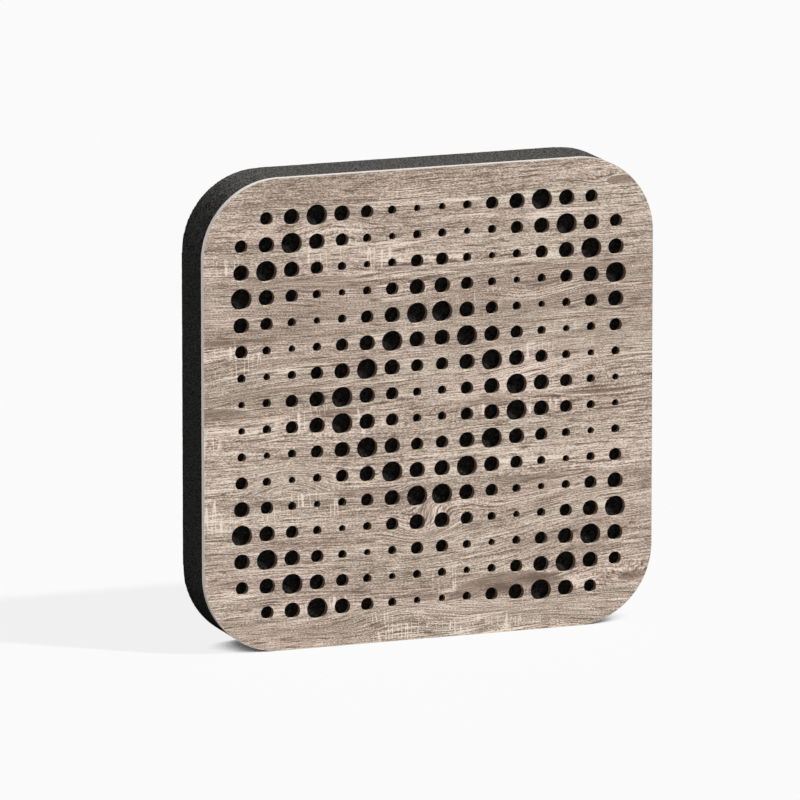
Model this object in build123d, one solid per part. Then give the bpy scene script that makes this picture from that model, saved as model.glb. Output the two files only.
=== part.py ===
from build123d import *

import os

# A hybrid acoustic panel: a perforated board with a wood decor, bonded to a black foam body.
# Millimetres. +Z is up and the decor face looks along -Y. The origin is under the middle of
# the panel, on the surface that its lower edge stands on. Left is -X, as seen from the front.

# Panel
SIDE = 600.0
CORNER_RADIUS = 100.0

# Layers, from the decor face backwards
LAMINATE = 0.6
CORE = 7.2
FLEECE = 0.5
FOAM = 73.1
BOARD = LAMINATE + CORE + LAMINATE
DEPTH = BOARD + FLEECE + FOAM
FRONT = -DEPTH / 2
BACK = DEPTH / 2

# Edge of the board and of the fleece
EDGE_BAND = 0.5
EDGE_BAND_JOINT = 0.3
FLEECE_MARGIN = 1.0

# Holes: a square grid without its corner holes, in five sizes that swell and shrink
# in diamond-shaped waves round the middle of the board
HOLE_ROWS = 16
HOLE_MARGIN = 50.0
HOLE_PITCH = (SIDE - 2 * HOLE_MARGIN) / (HOLE_ROWS - 1)
HOLE_DIAMETERS = (9.0, 11.5, 17.0, 21.0, 27.5)
WAVE_LENGTH = 2 * (len(HOLE_DIAMETERS) - 1)

# Plywood rail let into the back of the foam
RAIL_LENGTH = 440.0
RAIL_HEIGHT = 70.0
RAIL_THICKNESS = 12.0
RAIL_CENTRE_Z = 500.0

# Keyhole plates let into the rail, with room behind them for a wall screw's head
PLATE_SPACING = 320.0
PLATE_LENGTH = 60.0
PLATE_HEIGHT = 30.0
PLATE_THICKNESS = 2.0
PLATE_CORNER_RADIUS = 4.0
PLATE_CLEARANCE = 0.2
KEYHOLE_HEAD_DIAMETER = 10.0
KEYHOLE_SLOT_WIDTH = 5.0
KEYHOLE_SLOT_LENGTH = 10.0
KEYHOLE_DROP = 5.0
HEAD_ROOM_WIDTH = 14.0
HEAD_ROOM_HEIGHT = 24.0
HEAD_ROOM_DEPTH = 6.0

# Countersunk screws that hold the plates
SCREW_SPACING = 44.0
SCREW_DIAMETER = 3.0
SCREW_LENGTH = 10.0
SCREW_HEAD_DIAMETER = 5.6
SCREW_HEAD_HEIGHT = 1.6
SCREW_TIP_HEIGHT = 2.0
DRIVE_WIDTH = 0.7
DRIVE_SPAN = 3.0
DRIVE_DEPTH = 1.0


def front_plane(y, z=SIDE / 2):
    """A plane facing the front, with its own x to the right and y up."""
    return Plane(origin=(0, y, z), x_dir=(1, 0, 0), z_dir=(0, -1, 0))


def slab(outline, y, thickness, z=SIDE / 2):
    """A flat piece with its front face at y, drawn as seen from the front."""
    return extrude(front_plane(y, z) * outline, amount=-thickness)


def rounded_square(inset=0.0):
    """The panel's outline, drawn smaller all round by the inset."""
    side = SIDE - 2 * inset
    return RectangleRounded(side, side, CORNER_RADIUS - inset)


def hole_diameter(column, row):
    """The hole's size follows its distance from the middle, counted in steps along the grid."""
    middle = (HOLE_ROWS - 1) / 2
    steps = abs(column - middle) + abs(row - middle)
    phase = steps % WAVE_LENGTH
    return HOLE_DIAMETERS[int(min(phase, WAVE_LENGTH - phase))]


def hole_pattern():
    """Every hole of the board as circles about the board's middle."""
    middle = (HOLE_ROWS - 1) / 2
    ends = (0, HOLE_ROWS - 1)
    circles = []
    for row in range(HOLE_ROWS):
        for column in range(HOLE_ROWS):
            if row in ends and column in ends:
                continue
            place = Pos((column - middle) * HOLE_PITCH, (row - middle) * HOLE_PITCH)
            circles.append(place * Circle(hole_diameter(column, row) / 2))
    return Sketch() + circles


def perforated_layer(pattern, y, thickness):
    """One layer of the board, inside the edge band."""
    return slab(rounded_square(EDGE_BAND) - pattern, y, thickness)


def edge_band():
    """The band round the board, with its butt joint at the middle of the lower edge."""
    ring = rounded_square() - rounded_square(EDGE_BAND)
    joint = Pos(0, -SIDE / 2) * Rectangle(EDGE_BAND_JOINT, 4 * EDGE_BAND)
    return slab(ring - joint, FRONT, BOARD)


def acoustic_fleece():
    """The non-woven between board and foam, cut a little short of the edge."""
    return slab(rounded_square(FLEECE_MARGIN), FRONT + BOARD, FLEECE)


def foam_absorber():
    """The foam body, with a pocket in its back for the rail."""
    body = slab(rounded_square(), FRONT + BOARD + FLEECE, FOAM)
    pocket = Rectangle(RAIL_LENGTH, RAIL_HEIGHT)
    return body - slab(pocket, BACK - RAIL_THICKNESS, RAIL_THICKNESS, RAIL_CENTRE_Z)


def plate_places():
    """The plates' middles along the rail: left, then right."""
    return (-PLATE_SPACING / 2, PLATE_SPACING / 2)


def screw_places():
    """The screws' middles along the rail."""
    offsets = (-SCREW_SPACING / 2, SCREW_SPACING / 2)
    return [plate + offset for plate in plate_places() for offset in offsets]


def hanger_rail():
    """The rail, with a recess, head room and pilot holes for each keyhole plate."""
    rail = slab(Rectangle(RAIL_LENGTH, RAIL_HEIGHT), BACK - RAIL_THICKNESS, RAIL_THICKNESS, RAIL_CENTRE_Z)
    recess = RectangleRounded(
        PLATE_LENGTH + 2 * PLATE_CLEARANCE,
        PLATE_HEIGHT + 2 * PLATE_CLEARANCE,
        PLATE_CORNER_RADIUS + PLATE_CLEARANCE,
    )
    head_room = SlotOverall(HEAD_ROOM_HEIGHT, HEAD_ROOM_WIDTH, rotation=90)
    head_room_depth = PLATE_THICKNESS + HEAD_ROOM_DEPTH
    for x in plate_places():
        rail -= slab(Pos(x, 0) * recess, BACK - PLATE_THICKNESS, PLATE_THICKNESS, RAIL_CENTRE_Z)
        rail -= slab(Pos(x, 0) * head_room, BACK - head_room_depth, head_room_depth, RAIL_CENTRE_Z)
    for x in screw_places():
        pilot = Pos(x, 0) * Circle(SCREW_DIAMETER / 2)
        rail -= slab(pilot, BACK - SCREW_LENGTH, SCREW_LENGTH, RAIL_CENTRE_Z)
    return rail


def keyhole():
    """A round opening for a screw's head, with a slot that rises from its middle."""
    opening = Pos(0, -KEYHOLE_DROP) * Circle(KEYHOLE_HEAD_DIAMETER / 2)
    slot_overall = KEYHOLE_SLOT_LENGTH + KEYHOLE_SLOT_WIDTH
    slot_middle = KEYHOLE_SLOT_LENGTH / 2 - KEYHOLE_DROP
    return opening + Pos(0, slot_middle) * SlotOverall(slot_overall, KEYHOLE_SLOT_WIDTH, rotation=90)


def cone_below(bottom_diameter, top_diameter, height, x, y):
    """A cone about a screw's axis, with its top facing the back at y."""
    align = (Align.CENTER, Align.CENTER, Align.MAX)
    cone = Cone(bottom_diameter / 2, top_diameter / 2, height, align=align)
    return Pos(x, y, RAIL_CENTRE_Z) * Rot(-90, 0, 0) * cone


def countersink(x):
    """The cone of a screw's head, flush with the plate's back face."""
    return cone_below(SCREW_DIAMETER, SCREW_HEAD_DIAMETER, SCREW_HEAD_HEIGHT, x, BACK)


def keyhole_plate(x):
    """A steel plate with one keyhole between two countersunk screw holes."""
    outline = RectangleRounded(PLATE_LENGTH, PLATE_HEIGHT, PLATE_CORNER_RADIUS)
    screw_hole = Circle(SCREW_DIAMETER / 2)
    outline -= keyhole()
    outline -= [Pos(side * SCREW_SPACING / 2, 0) * screw_hole for side in (-1, 1)]
    plate = slab(Pos(x, 0) * outline, BACK - PLATE_THICKNESS, PLATE_THICKNESS, RAIL_CENTRE_Z)
    for side in (-1, 1):
        plate -= countersink(x + side * SCREW_SPACING / 2)
    return plate


def screw(x):
    """A countersunk screw with a pointed tip and a cross recess in its head."""
    shank_length = SCREW_LENGTH - SCREW_TIP_HEIGHT
    shank = slab(Pos(x, 0) * Circle(SCREW_DIAMETER / 2), BACK - shank_length, shank_length, RAIL_CENTRE_Z)
    tip = cone_below(0.0, SCREW_DIAMETER, SCREW_TIP_HEIGHT, x, BACK - shank_length)
    body = shank + countersink(x) + tip
    for span, width in ((DRIVE_SPAN, DRIVE_WIDTH), (DRIVE_WIDTH, DRIVE_SPAN)):
        body -= slab(Pos(x, 0) * Rectangle(span, width), BACK - DRIVE_DEPTH, DRIVE_DEPTH, RAIL_CENTRE_Z)
    return body


def build():
    """Every piece of the panel by its name."""
    pattern = hole_pattern()
    left, right = plate_places()
    return {
        "front_decor_laminate": perforated_layer(pattern, FRONT, LAMINATE),
        "board_core": perforated_layer(pattern, FRONT + LAMINATE, CORE),
        "balancing_laminate": perforated_layer(pattern, FRONT + LAMINATE + CORE, LAMINATE),
        "edge_band": edge_band(),
        "acoustic_fleece": acoustic_fleece(),
        "foam_absorber": foam_absorber(),
        "hanger_rail": hanger_rail(),
        "keyhole_plate_left": keyhole_plate(left),
        "keyhole_plate_right": keyhole_plate(right),
        "keyhole_plate_screws": Compound(children=[screw(x) for x in screw_places()]),
    }


os.makedirs("parts", exist_ok=True)
for name, piece in build().items():
    export_step(piece, f"parts/{name}.step")
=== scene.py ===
import math

import bpy
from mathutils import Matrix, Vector, noise


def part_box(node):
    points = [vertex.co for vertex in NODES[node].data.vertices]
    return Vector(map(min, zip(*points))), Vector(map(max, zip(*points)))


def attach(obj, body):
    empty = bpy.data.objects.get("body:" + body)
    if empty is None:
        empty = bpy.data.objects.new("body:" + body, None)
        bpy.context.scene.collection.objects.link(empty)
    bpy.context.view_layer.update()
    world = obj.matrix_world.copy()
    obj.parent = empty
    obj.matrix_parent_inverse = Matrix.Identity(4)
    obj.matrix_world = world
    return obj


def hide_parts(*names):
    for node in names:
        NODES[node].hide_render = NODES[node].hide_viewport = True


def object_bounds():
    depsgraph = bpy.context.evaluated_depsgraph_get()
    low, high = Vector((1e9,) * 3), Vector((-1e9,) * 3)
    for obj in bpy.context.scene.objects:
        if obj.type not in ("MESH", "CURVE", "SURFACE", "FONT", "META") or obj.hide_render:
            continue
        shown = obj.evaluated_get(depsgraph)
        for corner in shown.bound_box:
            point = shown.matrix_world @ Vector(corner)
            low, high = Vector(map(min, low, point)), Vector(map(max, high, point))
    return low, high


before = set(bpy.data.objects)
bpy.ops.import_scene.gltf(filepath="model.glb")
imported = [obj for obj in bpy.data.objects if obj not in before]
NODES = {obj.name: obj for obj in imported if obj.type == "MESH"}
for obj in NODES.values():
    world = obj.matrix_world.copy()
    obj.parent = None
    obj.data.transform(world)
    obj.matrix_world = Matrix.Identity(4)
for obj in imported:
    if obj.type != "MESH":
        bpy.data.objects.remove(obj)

# The looks of a perforated acoustic panel. Metres, in the shared frame: the decor face looks
# along -Y, +Z is up, and the panel stands on the floor at z = 0.

CAD_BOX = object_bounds()
PANEL_LOW = Vector(CAD_BOX[0])
PANEL_HIGH = Vector(CAD_BOX[1])
HEIGHT = PANEL_HIGH.z - PANEL_LOW.z
MM = 0.001


# ---------------------------------------------------------------- camera, stage and light

# Angles in degrees: azimuth from the front towards the right, elevation upwards
CAMERA_AZIMUTH = -20.755
CAMERA_ELEVATION = 11.711
CAMERA_DISTANCE = 13.95
CAMERA_LENS = 502.93
CAMERA_AIM = Vector((-0.0397, PANEL_LOW.y, HEIGHT / 2 + 0.0080))

KEY_AZIMUTH = 51.3
KEY_ELEVATION = 49.0
KEY_STRENGTH = 6.3
KEY_ANGLE = 3.0
SOFTBOX_AZIMUTH = 205.0
SOFTBOX_ELEVATION = 58.0
SOFTBOX_STRENGTH = 4.9
SOFTBOX_ANGLE = 80.0
SKY_FILL = 0.15
BACKDROP_WHITE = 0.956

FLOOR_HALF = 60.0
FLOOR_GLOW = 0.862
FLOOR_SHADOW_TINT = 0.0574
FLOOR_BOUNCE = 0.34

# The contact shadow: how far it reaches, the openness of the floor where it is darkest and
# where it ends, and the glow that is left where it is darkest
CONTACT_REACH = 0.09
CONTACT_DARKEST = 0.13
CONTACT_END = 0.34
CONTACT_GLOW = 0.05


def direction(azimuth, elevation):
    """The unit vector from the panel towards that azimuth and elevation."""
    a = math.radians(azimuth)
    e = math.radians(elevation)
    return Vector((math.sin(a) * math.cos(e), -math.cos(a) * math.cos(e), math.sin(e)))


def aimed(towards):
    """The rotation of a camera or light that stands that way from the panel and looks at it."""
    return (-towards).to_track_quat("-Z", "Y").to_euler()


def linked(name, data):
    """A new object with that data, in the scene."""
    made = bpy.data.objects.new(name, data)
    bpy.context.scene.collection.objects.link(made)
    return made


def make_camera():
    data = bpy.data.cameras.new("camera")
    data.lens = CAMERA_LENS
    data.clip_end = 200.0
    camera = linked("camera", data)
    towards = direction(CAMERA_AZIMUTH, CAMERA_ELEVATION)
    camera.location = CAMERA_AIM + towards * CAMERA_DISTANCE
    camera.rotation_euler = aimed(towards)
    bpy.context.scene.camera = camera


def make_sun(name, azimuth, elevation, strength, angle):
    """A light from far away, as wide as that angle."""
    data = bpy.data.lights.new(name, "SUN")
    data.energy = strength
    data.angle = math.radians(angle)
    sun = linked(name, data)
    towards = direction(azimuth, elevation)
    sun.location = towards * 5.0
    sun.rotation_euler = aimed(towards)
    return sun


def make_lights(floor):
    """A key light from the front right, and a softbox from high behind that spares the floor."""
    make_sun("key_light", KEY_AZIMUTH, KEY_ELEVATION, KEY_STRENGTH, KEY_ANGLE)
    softbox = make_sun("softbox", SOFTBOX_AZIMUTH, SOFTBOX_ELEVATION, SOFTBOX_STRENGTH, SOFTBOX_ANGLE)
    spared = bpy.data.collections.new("spared_by_softbox")
    spared.objects.link(floor)
    softbox.light_linking.receiver_collection = spared
    spared.collection_objects[0].light_linking.link_state = "EXCLUDE"


def new_node(tree, kind, **inputs):
    """A new node with those inputs set."""
    node = tree.nodes.new(kind)
    for name, value in inputs.items():
        node.inputs[name].default_value = value
    return node


def grey(level):
    return (level, level, level, 1.0)


def split_by_camera(tree, seen, otherwise, output_kind):
    """Gives one shader to what the camera sees directly, and the other to all other light."""
    path = tree.nodes.new("ShaderNodeLightPath")
    mix = tree.nodes.new("ShaderNodeMixShader")
    output = tree.nodes.new(output_kind)
    tree.links.new(path.outputs["Is Camera Ray"], mix.inputs[0])
    tree.links.new(otherwise.outputs[0], mix.inputs[1])
    tree.links.new(seen.outputs[0], mix.inputs[2])
    tree.links.new(mix.outputs[0], output.inputs["Surface"])


def make_world():
    """A white backdrop to look at, and a weaker even fill to light with."""
    world = bpy.data.worlds.new("world")
    world.use_nodes = True
    tree = world.node_tree
    tree.nodes.clear()
    white = new_node(tree, "ShaderNodeBackground", Color=grey(1.0), Strength=BACKDROP_WHITE)
    fill = new_node(tree, "ShaderNodeBackground", Color=grey(1.0), Strength=SKY_FILL)
    split_by_camera(tree, white, fill, "ShaderNodeOutputWorld")
    bpy.context.scene.world = world


def contact_glow(tree):
    """The floor's white glow, which fades close to whatever stands on it."""
    openness = new_node(tree, "ShaderNodeAmbientOcclusion", Distance=CONTACT_REACH)
    openness.samples = 8
    fade = tree.nodes.new("ShaderNodeMapRange")
    fade.inputs["From Min"].default_value = CONTACT_DARKEST
    fade.inputs["From Max"].default_value = CONTACT_END
    fade.inputs["To Min"].default_value = CONTACT_GLOW
    fade.inputs["To Max"].default_value = FLOOR_GLOW
    glow = tree.nodes.new("ShaderNodeEmission")
    tree.links.new(openness.outputs["AO"], fade.inputs["Value"])
    tree.links.new(fade.outputs["Result"], glow.inputs["Strength"])
    return glow


def floor_material():
    """Glows white to the eye, so that the key light's shadow stays faint, and bounces grey light."""
    material = bpy.data.materials.new("floor")
    material.use_nodes = True
    tree = material.node_tree
    tree.nodes.clear()
    shade = new_node(tree, "ShaderNodeBsdfDiffuse", Color=grey(FLOOR_SHADOW_TINT))
    bounce = new_node(tree, "ShaderNodeBsdfDiffuse", Color=grey(FLOOR_BOUNCE))
    seen = tree.nodes.new("ShaderNodeAddShader")
    tree.links.new(contact_glow(tree).outputs[0], seen.inputs[0])
    tree.links.new(shade.outputs[0], seen.inputs[1])
    split_by_camera(tree, seen, bounce, "ShaderNodeOutputMaterial")
    return material


def make_floor():
    """A wide pale floor under the panel."""
    mesh = bpy.data.meshes.new("floor")
    corners = ((-1, -1), (1, -1), (1, 1), (-1, 1))
    mesh.from_pydata([(x * FLOOR_HALF, y * FLOOR_HALF, 0) for x, y in corners], [], [(0, 1, 2, 3)])
    mesh.materials.append(floor_material())
    floor = linked("floor", mesh)
    return floor


# ---------------------------------------------------------------- node arithmetic

def srgb(red, green, blue):
    """A colour as a screen shows it, 0 to 255, as linear numbers."""
    channels = []
    for value in (red, green, blue):
        c = value / 255
        channels.append(c / 12.92 if c <= 0.04045 else ((c + 0.055) / 1.055) ** 2.4)
    return (*channels, 1.0)


def as_lit(red, green, blue, light):
    """The surface colour that looks like this under that much light."""
    return (*[channel / light for channel in srgb(red, green, blue)[:3]], 1.0)


def dark_to_light(dark, light):
    """Ramp stops from a dark to a light colour, each given as a screen shows it."""
    return ((0.0, srgb(*dark)), (1.0, srgb(*light)))


class Field:
    """A number that varies over a surface. Arithmetic on it adds Math nodes to its paint."""

    def __init__(self, paint, socket):
        self.paint = paint
        self.socket = socket

    def __add__(self, other):
        return self.paint.math("ADD", self, other)

    def __sub__(self, other):
        return self.paint.math("SUBTRACT", self, other)

    def __mul__(self, other):
        return self.paint.math("MULTIPLY", self, other)

    # sum() starts from 0 + field
    __radd__ = __add__

    def above(self, limit):
        """1 where the field is above the limit, and 0 elsewhere."""
        return self.paint.math("GREATER_THAN", self, limit)

    def line(self, half_width):
        """1 along the curves where the field is 0, fading to 0 at the half width."""
        return self.paint.math("ABSOLUTE", self).step(0.0, half_width, 1.0, 0.0)

    def step(self, low, high, start=0.0, end=1.0):
        """Goes smoothly from start at low to end at high, and stays there."""
        node = self.paint.add("ShaderNodeMapRange", interpolation_type="SMOOTHSTEP")
        self.paint.feed(node.inputs["Value"], self)
        for name, value in (("From Min", low), ("From Max", high), ("To Min", start), ("To Max", end)):
            node.inputs[name].default_value = value
        return Field(self.paint, node.outputs["Result"])


class Paint:
    """One material's node tree, with a short call for each kind of node that it uses."""

    def __init__(self, name):
        self.material = bpy.data.materials.new(name)
        self.material.use_nodes = True
        self.tree = self.material.node_tree
        self.shader = self.tree.nodes["Principled BSDF"]
        self.place = self.add("ShaderNodeTexCoord").outputs["Object"]
        split = self.add("ShaderNodeSeparateXYZ")
        self.tree.links.new(self.place, split.inputs[0])
        self.x, self.y, self.z = (Field(self, socket) for socket in split.outputs)

    def add(self, kind, **settings):
        node = self.tree.nodes.new(kind)
        for key, value in settings.items():
            setattr(node, key, value)
        return node

    def feed(self, socket, value):
        """Links a field or a socket, or sets a plain value."""
        if isinstance(value, Field):
            value = value.socket
        if isinstance(value, bpy.types.NodeSocket):
            self.tree.links.new(value, socket)
        else:
            socket.default_value = value

    def math(self, operation, *values):
        node = self.add("ShaderNodeMath", operation=operation)
        for socket, value in zip(node.inputs, values):
            self.feed(socket, value)
        return Field(self, node.outputs[0])

    def vector(self, x, y, z=0.0):
        node = self.add("ShaderNodeCombineXYZ")
        for socket, value in zip(node.inputs, (x, y, z)):
            self.feed(socket, value)
        return node.outputs[0]

    def noise(self, vector, scale=1.0, detail=0.0, roughness=0.5, distortion=0.0):
        """Smooth noise about 0, mostly between -0.5 and 0.5."""
        node = self.add("ShaderNodeTexNoise")
        self.feed(node.inputs["Vector"], vector)
        node.inputs["Scale"].default_value = scale
        node.inputs["Detail"].default_value = detail
        node.inputs["Roughness"].default_value = roughness
        node.inputs["Distortion"].default_value = distortion
        return Field(self, node.outputs[0]) - 0.5

    def grains(self, scale):
        """Fine noise, the same in all directions, with so many grains to the metre."""
        return self.noise(self.place, scale, detail=1.0, roughness=0.6)

    def blob(self, x, z, reach_x, reach_z):
        """1 at the middle of an oval on the face, and 0 from its edge outwards. Millimetres."""
        scale = self.add("ShaderNodeVectorMath", operation="MULTIPLY_ADD")
        self.feed(scale.inputs[0], self.place)
        scale.inputs[1].default_value = (1 / (reach_x * MM), 0, 1 / (reach_z * MM))
        scale.inputs[2].default_value = (-x / reach_x, 0, -z / reach_z)
        length = self.add("ShaderNodeVectorMath", operation="LENGTH")
        self.tree.links.new(scale.outputs[0], length.inputs[0])
        return Field(self, length.outputs["Value"]).step(0.0, 1.0, 1.0, 0.0)

    def facing(self, axis):
        """How far the surface itself looks along that axis, from -1 to 1."""
        split = self.add("ShaderNodeSeparateXYZ")
        self.tree.links.new(self.add("ShaderNodeTexCoord").outputs["Normal"], split.inputs[0])
        return Field(self, split.outputs[axis])

    def ramp(self, field, stops):
        """A colour for each value of the field, from (position, colour) stops."""
        node = self.add("ShaderNodeValToRGB")
        self.feed(node.inputs[0], field)
        elements = node.color_ramp.elements
        while len(elements) < len(stops):
            elements.new(0.5)
        for element, (position, colour) in zip(elements, stops):
            element.position = position
            element.color = colour
        return node.outputs[0]

    def mix(self, factor, first, second, blend="MIX"):
        node = self.add("ShaderNodeMix", data_type="RGBA", blend_type=blend)
        self.feed(node.inputs[0], factor)
        self.feed(node.inputs[6], first)
        self.feed(node.inputs[7], second)
        return node.outputs[2]

    def bump(self, height, distance):
        """Raises the surface where the height field is high, by about that distance."""
        node = self.add("ShaderNodeBump")
        node.inputs["Strength"].default_value = 1.0
        node.inputs["Distance"].default_value = distance
        self.feed(node.inputs["Height"], height)
        self.feed(self.shader.inputs["Normal"], node.outputs[0])

    def finish(self, colour, roughness, specular=0.5, metallic=0.0):
        """Feeds the shader, and gives the finished material."""
        self.feed(self.shader.inputs["Base Color"], colour)
        self.feed(self.shader.inputs["Roughness"], roughness)
        self.shader.inputs["Specular IOR Level"].default_value = specular
        self.shader.inputs["Metallic"].default_value = metallic
        return self.material


# ---------------------------------------------------------------- wood decor

# How much light falls on the decor face, so that its colours can be given as they look
FACE_LIGHT = 1.22

# The planks from the bottom: the height of the seam below each, and how light the plank is
PLANKS = (
    (0.046, -0.015),
    (0.200, 0.04),
    (0.303, -0.02),
    (0.400, -0.055),
    (0.473, 0.065),
    (0.562, 0.025),
)

# The lists below hold ovals in millimetres: middle x and z, reach along x and z, amount.

# Where the grain bends, with how many millimetres it is pushed down
GRAIN_BULGES = (
    (226, 569, 40, 14, 5),
    (330, 575, 100, 24, 8),
    (-130, 540, 80, 34, -11),
    (-140, 480, 90, 34, -11),
    (60, 475, 160, 20, 7),
    (140, 430, 90, 34, 12),
    (-60, 440, 160, 36, 10),
    (-330, 345, 160, 60, 14),
    (280, 345, 260, 70, -24),
    (-330, 300, 130, 14, 5),
    (-70, 300, 60, 12, 4),
    (70, 296, 130, 14, -5),
    (-186, 201, 70, 46, -21),
    (-150, 286, 110, 30, -10),
    (30, 192, 90, 60, -24),
    (-10, 140, 60, 36, 14),
    (310, 130, 340, 160, -38),
    (275, 58, 60, 24, 8),
    (90, 56, 90, 26, -8),
    (-40, 44, 120, 46, -12),
    (150, 8, 120, 34, -10),
)
# Lighter and darker streaks
SHADES = (
    (-190, 580, 120, 9, -0.4),
    (-60, 593, 180, 7, 0.5),
    (170, 592, 100, 7, 0.8),
    (262, 574, 46, 13, -1.6),
    (120, 567, 120, 5, -0.8),
    (20, 512, 130, 12, 0.8),
    (-230, 530, 110, 24, 0.5),
    (180, 520, 120, 14, 0.5),
    (20, 480, 200, 7, -1.5),
    (80, 484, 60, 7, -1.2),
    (220, 478, 110, 6, -1.1),
    (-250, 477, 90, 5, -1.3),
    (-170, 455, 120, 12, -0.9),
    (-190, 425, 170, 22, -0.6),
    (130, 430, 90, 14, 1.0),
    (220, 462, 110, 8, -1.0),
    (60, 464, 60, 6, 0.8),
    (-270, 397, 120, 8, -2.6),
    (-110, 397, 90, 4, -1.4),
    (150, 397, 160, 4, -1.1),
    (-240, 340, 120, 16, -0.6),
    (-260, 313, 60, 6, 0.8),
    (60, 335, 130, 16, 1.0),
    (240, 330, 80, 24, -0.4),
    (-270, 301, 110, 5, -2.0),
    (-140, 297, 80, 9, -2.2),
    (-110, 284, 80, 6, 1.0),
    (230, 301, 130, 5, -2.6),
    (70, 298, 70, 8, -2.0),
    (0, 288, 80, 7, -1.0),
    (-40, 270, 260, 10, 0.8),
    (200, 258, 140, 14, 0.6),
    (-240, 232, 90, 16, 0.6),
    (70, 232, 90, 8, -0.9),
    (50, 210, 110, 7, 1.2),
    (150, 195, 80, 5, -2.0),
    (-85, 196, 70, 5, -2.0),
    (50, 185, 60, 18, -0.6),
    (-215, 170, 110, 20, 0.9),
    (-285, 172, 30, 18, 0.9),
    (230, 165, 90, 16, 0.7),
    (-150, 132, 130, 6, -1.2),
    (-220, 112, 110, 11, -0.9),
    (-265, 90, 50, 4, -1.8),
    (-250, 64, 90, 12, -1.3),
    (-100, 75, 90, 10, 0.6),
    (10, 53, 70, 8, -2.6),
    (98, 56, 30, 11, -3.2),
    (150, 66, 50, 11, -2.2),
    (90, 86, 110, 6, 1.4),
    (265, 60, 55, 11, -2.0),
    (210, 100, 90, 7, -0.9),
    (260, 130, 90, 9, 0.8),
    (0, 25, 300, 5, -1.0),
    (0, 37, 320, 7, 0.7),
    (-90, 8, 160, 5, 0.7),
)
# Heartwood figures, with the number of their plank, which may cut them off at its seams
FIGURES = (
    (262, 568, 34, 9, -0.2, 6),
    (-120, 566, 130, 7, -0.15, 5),
    (20, 478, 190, 9, -0.15, 4),
    (-330, 306, 122, 13, -0.2, 3),
    (-118, 306, 56, 19, -0.2, 2),
    (-140, 288, 60, 10, -0.12, 2),
    (230, 306, 90, 12, -0.14, 2),
    (110, 44, 116, 45, -0.2, 1),
    (318, 58, 84, 14, -0.18, 1),
    (208, 44, 22, 28, -0.1, 1),
)
# Where a coarse saw left its marks
SAW_PATCHES = (
    (-272, 492, 50, 26, 0.8),
    (-130, 500, 60, 34, 1.3),
    (-80, 490, 60, 28, 0.9),
    (-262, 375, 62, 34, 1.3),
    (-160, 290, 60, 34, 1.3),
    (-95, 285, 50, 28, 1.1),
    (-292, 268, 24, 20, 1.0),
    (-272, 178, 56, 30, 1.8),
    (-180, 180, 90, 28, 1.7),
    (18, 72, 32, 34, 0.9),
    (-140, 56, 110, 14, 0.8),
    (-50, 20, 56, 28, 1.6),
    (70, 14, 130, 18, 0.8),
    (70, 428, 56, 26, 0.8),
    (130, 360, 60, 18, 1.1),
    (195, 388, 14, 18, 1.0),
    (120, 288, 115, 20, 0.8),
)
# How far apart neighbouring planks lie in the noise, so that no two look alike
PLANK_SHIFT = 0.731

# The colours of the face as they look in the light: the walls of its holes, and the wood from
# its dark pores to its chalky streaks
WALL_LOOK = (176, 164, 150)
WOOD_LOOK = ((112, 94, 81), (150, 132, 118), (179, 161, 146), (208, 191, 176), (238, 223, 208))
WOOD_TINTS = ((251, 253, 251), (254, 251, 252))
WOOD_MIDDLE = 0.49
GRAIN_HEIGHT = 0.00012


def ovals(paint, listed):
    """The sum of a list of ovals, each times its amount."""
    return sum(paint.blob(*oval) * amount for *oval, amount in listed)


def plank_at(z):
    """The number of the plank at that height, from 0 at the bottom."""
    return sum(z > seam for seam, _ in PLANKS)


def plank_masks(paint):
    """For each plank from the bottom, 1 on it and 0 elsewhere."""
    above = [paint.z.above(seam) for seam, _ in PLANKS]
    masks = [paint.math("SUBTRACT", 1.0, above[0])]
    for lower, upper in zip(above, above[1:]):
        masks.append(lower - upper)
    return masks + [above[-1]]


def ovals_by_plank(paint, listed, masks):
    """The sum of a list of ovals, each kept to the plank that its middle is on."""
    parts = []
    for number, mask in enumerate(masks):
        here = [oval for oval in listed if plank_at(oval[1] * MM) == number]
        if here:
            parts.append(ovals(paint, here) * mask)
    return sum(parts)


def figures(paint, masks):
    """Dark heartwood figures, each with a crisp outline and a light ring along it."""
    parts = []
    for *oval, amount, plank in FIGURES:
        lens = paint.blob(*oval) * masks[plank]
        parts.append(lens.step(0.1, 0.25) * amount)
        parts.append((lens - 0.1).line(0.1) * 0.24)
    return sum(parts)


class Grain:
    """The wood's grain: noise drawn out along planks whose grain bends."""

    def __init__(self, paint, masks):
        x, z = paint.x, paint.z
        self.paint = paint
        self.shift = sum(mask * (PLANK_SHIFT * number) for number, mask in enumerate(masks) if number)
        wander = paint.noise(paint.vector(x * 4.0, z * 8.0, self.shift), detail=1.0) * 0.02
        ripple = paint.noise(paint.vector(x * 45.0, z * 60.0, self.shift), detail=1.0) * 0.0022
        # The height of a point as if its plank's grain ran straight
        self.height = z + ovals_by_plank(paint, GRAIN_BULGES, masks) * MM + wander + ripple

    def streaks(self, offset, along, across, detail=0.0):
        """Noise with so many cells to the metre along and across the grain, set apart by the offset."""
        place = self.paint.vector(self.paint.x * along, (self.height + offset) * across, self.shift)
        return self.paint.noise(place, detail=detail)


def saw_marks(paint, grain):
    """Chalky lines that a coarse saw left across the grain, with some along it between them."""
    x, z = paint.x, paint.z
    lean = x + paint.noise(paint.vector(x * 12.0, z * 12.0, grain.shift)) * 0.008
    across = paint.noise(paint.vector(lean * 120.0, z * 6.0, grain.shift)).line(0.05)
    along = grain.streaks(4.0, 9.0, 150.0).line(0.045)
    broken = paint.noise(paint.vector(x * 34.0, z * 50.0), detail=1.0).step(-0.1, 0.04)
    patch = ovals(paint, SAW_PATCHES).step(0.0, 0.7)
    return (across + along * 0.55) * patch * broken


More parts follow.
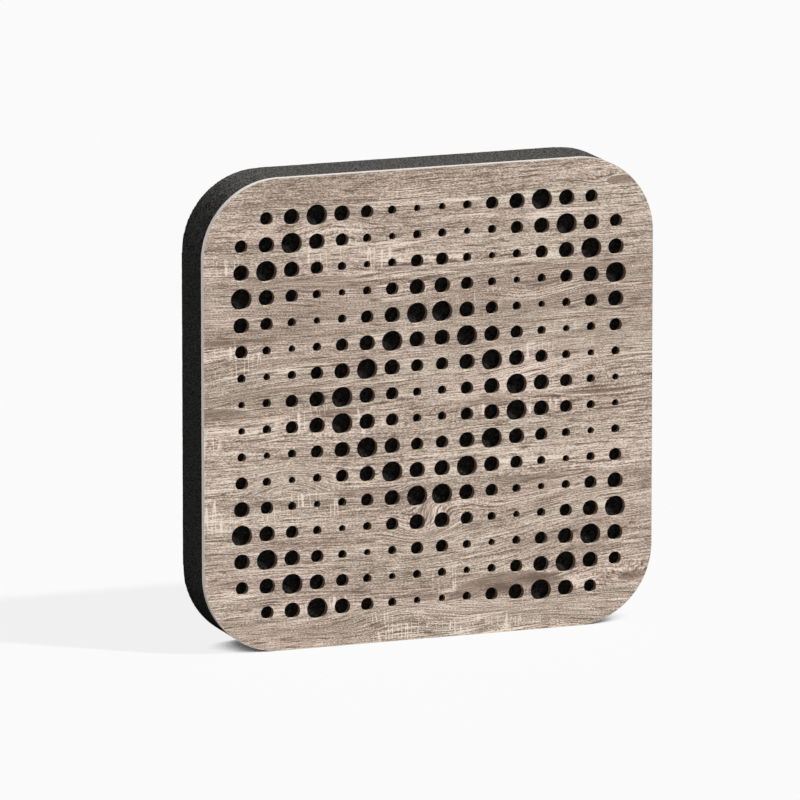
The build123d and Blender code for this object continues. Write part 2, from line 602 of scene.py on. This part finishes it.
def wood_relief(grain):
    """The fine lines of the grain: short dashes, grit, pores, dark veins and pale threads."""
    dashes = grain.streaks(1.0, 30.0, 720.0, detail=1.0) * 1.1
    grit = grain.streaks(2.0, 420.0, 1050.0) * 1.35
    pores = grain.streaks(5.0, 60.0, 600.0, detail=1.0).step(0.1, 0.16) * -0.3
    veins = grain.streaks(6.0, 13.0, 430.0).line(0.07) * -0.52
    here = grain.streaks(9.0, 7.0, 22.0, detail=1.0).step(-0.1, 0.12)
    threads = grain.streaks(3.0, 6.0, 220.0).line(0.065) * here * 0.5
    return dashes + grit + pores + veins + threads


def wood_shade(paint, grain, masks):
    """The broad light and dark of the planks."""
    light = sum(mask * level for mask, (_, level) in zip(masks[1:], PLANKS))
    clouds = grain.streaks(0.0, 2.2, 40.0, detail=1.0) * 0.71
    return ovals_by_plank(paint, SHADES, masks) * 0.14 + figures(paint, masks) + clouds + light + 0.085


def wood_decor():
    """Sawn oak planks: growth lines, pores, chalk and saw marks that follow a bent grain."""
    paint = Paint("oak_decor")
    masks = plank_masks(paint)
    grain = Grain(paint, masks)
    relief = wood_relief(grain)
    shade = wood_shade(paint, grain, masks)
    growth = grain.streaks(0.0, 8.0, 170.0, detail=1.0) * 0.14
    fine = relief * shade.step(-0.2, 0.0, 0.4, 1.0) + growth
    tone = fine + shade + WOOD_MIDDLE + saw_marks(paint, grain) * 0.72
    stops = [(i / 4, as_lit(*look, FACE_LIGHT)) for i, look in enumerate(WOOD_LOOK)]
    pink = grain.streaks(0.0, 4.0, 30.0, detail=1.0).step(-0.2, 0.2)
    tint = paint.mix(pink, *[srgb(*look) for look in WOOD_TINTS])
    wood = paint.mix(1.0, paint.ramp(tone, stops), tint, "MULTIPLY")
    front = (paint.facing(1) * -1.0).above(0.5)
    colour = paint.mix(front, as_lit(*WALL_LOOK, FACE_LIGHT), wood)
    paint.bump(relief, GRAIN_HEIGHT)
    return paint.finish(colour, roughness=0.55, specular=0.3)


# ---------------------------------------------------------------- other materials

# Foam, fibreboard and edge band have a second colour on the faces that look up: painted light on the
# foam and fibreboard, painted shade on the band. It only sets how light those faces look on this stage:
# the real materials have one colour all round.

def foam_material():
    """Open cells: black holes between paler webs, with painted light that makes the faces that look up
    paler still.
    """
    paint = Paint("foam")
    cells = paint.grains(460.0)
    mottle = paint.noise(paint.place, 130.0, detail=1.0)
    web = (cells + mottle * 0.12).step(-0.2, 0.2)
    side = paint.ramp(web, dark_to_light((5, 5, 5), (50, 50, 49)))
    # Painted light: a paler copy of the foam's colours for the faces that look up
    painted_lit_top = paint.ramp(web, dark_to_light((8, 8, 8), (71, 70, 68)))
    upward_painted_shading = paint.facing(2).step(0.6, 1.0)
    paint.bump(cells, 0.0012)
    return paint.finish(paint.mix(upward_painted_shading, side, painted_lit_top), roughness=0.95, specular=0.0)


def fleece_material():
    """Black non-woven cloth with pale crossing fibres."""
    paint = Paint("fleece")
    x, z = paint.x, paint.z
    falling = paint.noise(paint.vector((x + z) * 900.0, (x - z) * 120.0))
    rising = paint.noise(paint.vector((x - z) * 900.0, (x + z) * 120.0))
    fibres = paint.math("MAXIMUM", falling, rising).step(0.02, 0.2)
    clumps = paint.noise(paint.place, 260.0, detail=1.0).step(-0.2, 0.2)
    web = fibres * 0.6 + clumps * 0.4
    colour = paint.ramp(web, dark_to_light((8, 8, 8), (50, 50, 48)))
    paint.bump(web, 0.0004)
    return paint.finish(colour, roughness=0.95, specular=0.0)


def fibreboard_material():
    """Raw brown fibreboard, with painted light that makes the faces that look up paler."""
    paint = Paint("fibreboard")
    fibres = paint.grains(500.0)
    raw = paint.ramp(fibres.step(-0.2, 0.2), dark_to_light((128, 106, 82), (150, 128, 102)))
    # Painted light: the faces that look up get a paler fibreboard colour
    upward_painted_shading = paint.facing(2).step(0.35, 0.9)
    paint.bump(fibres, 0.0002)
    return paint.finish(paint.mix(upward_painted_shading, raw, srgb(172, 160, 145)), roughness=0.85, specular=0.3)


def band_material():
    """Satin melamine band, with painted shade that makes the faces that look up darker."""
    paint = Paint("edge_band")
    grain = paint.grains(250.0)
    side = paint.ramp(grain.step(-0.2, 0.2), dark_to_light((188, 181, 171), (198, 193, 184)))
    # Painted shade: the faces that look up get a darker band colour
    upward_painted_shading = paint.facing(2).step(0.0, 0.8)
    paint.bump(grain, 0.0001)
    return paint.finish(paint.mix(upward_painted_shading, side, srgb(142, 137, 131)), roughness=0.55, specular=0.2)


def balancing_material():
    """Plain brown paper with a fine speckle."""
    paint = Paint("balancing_paper")
    grain = paint.grains(400.0)
    colour = paint.ramp(grain.step(-0.2, 0.2), dark_to_light((150, 136, 120), (176, 162, 146)))
    paint.bump(grain, 0.0001)
    return paint.finish(colour, roughness=0.6, specular=0.3)


def plywood_material():
    """Birch plywood: a face veneer with long fibres, and stripes where its plies are cut."""
    paint = Paint("plywood")
    x, y, z = paint.x, paint.y, paint.z
    figure = paint.noise(paint.vector(x * 3.0, z * 50.0 + 7.0), detail=2.0, distortion=0.4)
    fibres = paint.noise(paint.vector(x * 18.0, z * 900.0), detail=1.0)
    face = paint.ramp(
        figure * 0.9 + fibres * 0.7 + 0.5,
        ((0.2, srgb(188, 150, 104)), (0.5, srgb(214, 182, 138)), (0.85, srgb(232, 208, 170))),
    )
    plies = paint.math("PINGPONG", y * 1000.0, 1.5) * 0.66
    edge = paint.ramp(plies, ((0.3, srgb(150, 112, 72)), (0.6, srgb(206, 172, 126))))
    flat = paint.math("ABSOLUTE", paint.facing(1)).above(0.5)
    paint.bump(fibres, 0.0002)
    return paint.finish(paint.mix(flat, edge, face), roughness=0.6, specular=0.3)


def steel_material():
    """Bright zinc plate with a faint brushed grain and a few dull spots."""
    paint = Paint("zinc_steel")
    brushed = paint.noise(paint.vector(paint.x * 60.0, paint.z * 3000.0), detail=1.0)
    spots = paint.noise(paint.place, 160.0, detail=2.0).step(-0.2, 0.2)
    colour = paint.ramp(spots, dark_to_light((168, 171, 176), (205, 206, 208)))
    paint.bump(brushed, 0.00003)
    return paint.finish(colour, roughness=brushed.step(-0.3, 0.3, 0.28, 0.46), metallic=1.0)


def screw_material():
    """Turned steel heads, with painted shade in the recess."""
    paint = Paint("screw_steel")
    turning = paint.noise(paint.place, 900.0, detail=1.0)
    head = paint.ramp(turning.step(-0.2, 0.2), dark_to_light((118, 120, 124), (146, 148, 152)))
    # Painted shade: steel deeper than the head's top is near black
    clear_of_painted_shade = paint.y.step(PANEL_HIGH.y - 0.0006, PANEL_HIGH.y - 0.0002)
    paint.bump(turning, 0.00003)
    return paint.finish(paint.mix(clear_of_painted_shade, srgb(32, 32, 33), head), roughness=0.35, metallic=1.0)


# ---------------------------------------------------------------- pieces built as meshes

PANEL_HALF = (PANEL_HIGH.x - PANEL_LOW.x) / 2
CORNER_RADIUS = 0.1
CORNER_STEPS = 40

# The edge band, whose outer arrises are rounded to that radius in that many steps
BAND_THICKNESS = 0.0005
BAND_ARRIS = 0.0003
BAND_ARRIS_STEPS = 4
BAND_JOINT = 0.0003

# The fleece: rings of faces, how deep its two sides lie in its CAD solid, and its unevenness
# as a share of that solid's depth
FLEECE_RINGS = 70
FLEECE_SIDES = (0.25, 0.85)
FLEECE_SWAY = 0.1
FLEECE_WAVES = 60.0

# The foam: its remesh, how far its skin lies inside the CAD solid, how much deeper the skin
# may go, and the cells and softer lumps to the metre that it does so in
FOAM_VOXEL = 0.003
FOAM_RECESS = 0.0001
FOAM_ROUGHNESS = 0.00035
FOAM_CELLS = 170.0
FOAM_LUMPS = 40.0


def new_piece(name, vertices, faces, material, stands_for):
    """A mesh piece in that material that takes a CAD node's place and rides on the panel."""
    mesh = bpy.data.meshes.new(name)
    mesh.from_pydata(vertices, [], faces)
    mesh.validate()
    return dress(linked(name, mesh), material, stands_for)


def dress(piece, material, stands_for):
    """Gives a mesh piece its material, and hides the CAD node that it stands for."""
    piece.data.materials.clear()
    piece.data.materials.append(material)
    piece.data.shade_smooth()
    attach(piece, "root")
    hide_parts(stands_for)
    return piece


def rounded_outline(inset, gap=0.0):
    """Points round the panel's outline from the middle of its lower edge, seen from the front."""
    half = PANEL_HALF - inset
    centre = PANEL_HALF - CORNER_RADIUS
    radius = CORNER_RADIUS - inset
    points = [(gap / 2, -half)]
    for quarter, (side, end) in enumerate(((1, -1), (1, 1), (-1, 1), (-1, -1))):
        for step in range(CORNER_STEPS + 1):
            angle = math.radians(90 * (quarter - 1 + step / CORNER_STEPS))
            x = side * centre + radius * math.cos(angle)
            z = end * centre + radius * math.sin(angle)
            points.append((x, z))
    if gap:
        points.append((-gap / 2, -half))
    return [(x, z + PANEL_HALF) for x, z in points]


def band_section(front, back):
    """The edge band's cross-section as (inset, y): square inside, with soft arrises outside."""
    section = [(BAND_THICKNESS, back), (BAND_THICKNESS, front)]
    for middle, turn in ((front + BAND_ARRIS, 0), (back - BAND_ARRIS, 90)):
        for step in range(BAND_ARRIS_STEPS + 1):
            angle = math.radians(turn + 90 * step / BAND_ARRIS_STEPS)
            inset = BAND_ARRIS * (1 - math.sin(angle))
            section.append((inset, middle - BAND_ARRIS * math.cos(angle)))
    return section


def make_edge_band():
    """The band round the board: its section carried from one side of the joint to the other."""
    low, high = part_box("edge_band")
    section = band_section(low[1], high[1])
    rings = [[(x, y, z) for x, z in rounded_outline(inset, BAND_JOINT)] for inset, y in section]
    count = len(rings)
    stations = len(rings[0])
    vertices = [rings[ring][station] for station in range(stations) for ring in range(count)]
    faces = []
    for near in range(0, (stations - 1) * count, count):
        for ring in range(count):
            after = (ring + 1) % count
            faces.append((near + ring, near + after, near + count + after, near + count + ring))
    faces.append(tuple(reversed(range(count))))
    faces.append(tuple(range((stations - 1) * count, stations * count)))
    new_piece("edge_band_strip", vertices, faces, band_material(), "edge_band")


def fleece_side(low, high, depth):
    """Points of one side of the cloth, at that share of its depth: rings from the middle outwards."""
    outline = rounded_outline(PANEL_HALF - (high[0] - low[0]) / 2)
    vertices = []
    for ring in range(1, FLEECE_RINGS + 1):
        for x, z in outline:
            across = x * ring / FLEECE_RINGS
            up = PANEL_HALF + (z - PANEL_HALF) * ring / FLEECE_RINGS
            sway = noise.noise(Vector((across, depth, up)) * FLEECE_WAVES) * FLEECE_SWAY
            vertices.append((across, low[1] + (high[1] - low[1]) * (depth + sway), up))
    return vertices


def ringed_faces(start, count):
    """One side's faces from its first point: a small middle, then a band between each two rings."""
    faces = [tuple(start + i for i in range(count))]
    for inner in range(start, start + (FLEECE_RINGS - 1) * count, count):
        for i in range(count):
            j = (i + 1) % count
            faces.append((inner + i, inner + count + i, inner + count + j, inner + j))
    return faces


def make_fleece():
    """A thin cloth that lies on the foam, a little uneven."""
    low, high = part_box("acoustic_fleece")
    front, back = (fleece_side(low, high, depth) for depth in FLEECE_SIDES)
    layer = len(front)
    count = layer // FLEECE_RINGS
    faces = ringed_faces(0, count) + [face[::-1] for face in ringed_faces(layer, count)]
    rim = layer - count
    for i in range(count):
        j = (i + 1) % count
        faces.append((rim + i, rim + layer + i, rim + layer + j, rim + j))
    material = fleece_material()
    cloth = new_piece("fleece_cloth", front + back, faces, material, "acoustic_fleece")


def remeshed(source, name, voxel):
    """A new object with a node's shape, remeshed in small even faces."""
    mesh = source.data.copy()
    mesh.transform(source.matrix_world)
    copy = linked(name, mesh)
    remesh = copy.modifiers.new("cells", "REMESH")
    remesh.mode = "VOXEL"
    remesh.voxel_size = voxel
    bpy.context.view_layer.update()
    graph = bpy.context.evaluated_depsgraph_get()
    copy.data = bpy.data.meshes.new_from_object(copy.evaluated_get(graph))
    copy.modifiers.clear()
    return copy


def make_foam():
    """The foam body with soft cut edges and an uneven, open-celled skin."""
    foam = remeshed(NODES["foam_absorber"], "foam_body", FOAM_VOXEL)
    normals = [vertex.normal.copy() for vertex in foam.data.vertices]
    for vertex, normal in zip(foam.data.vertices, normals):
        rough = noise.noise(vertex.co * FOAM_CELLS) + 0.7 * noise.noise(vertex.co * FOAM_LUMPS)
        vertex.co -= normal * (FOAM_RECESS + FOAM_ROUGHNESS * (0.5 + 0.5 * rough))
    dress(foam, foam_material(), "foam_absorber")


# The CAD pieces that are shown as they are, in their own materials
CAD_MATERIALS = {
    "front_decor_laminate": wood_decor,
    "board_core": fibreboard_material,
    "balancing_laminate": balancing_material,
    "hanger_rail": plywood_material,
    "keyhole_plate_left": steel_material,
    "keyhole_plate_right": steel_material,
    "keyhole_plate_screws": screw_material,
}


def paint_cad_pieces():
    for name, make_material in CAD_MATERIALS.items():
        NODES[name].data.materials.clear()
        NODES[name].data.materials.append(make_material())


bpy.context.scene.view_settings.view_transform = "Standard"
make_camera()
make_world()
make_lights(make_floor())
paint_cad_pieces()
make_foam()
make_fleece()
make_edge_band()
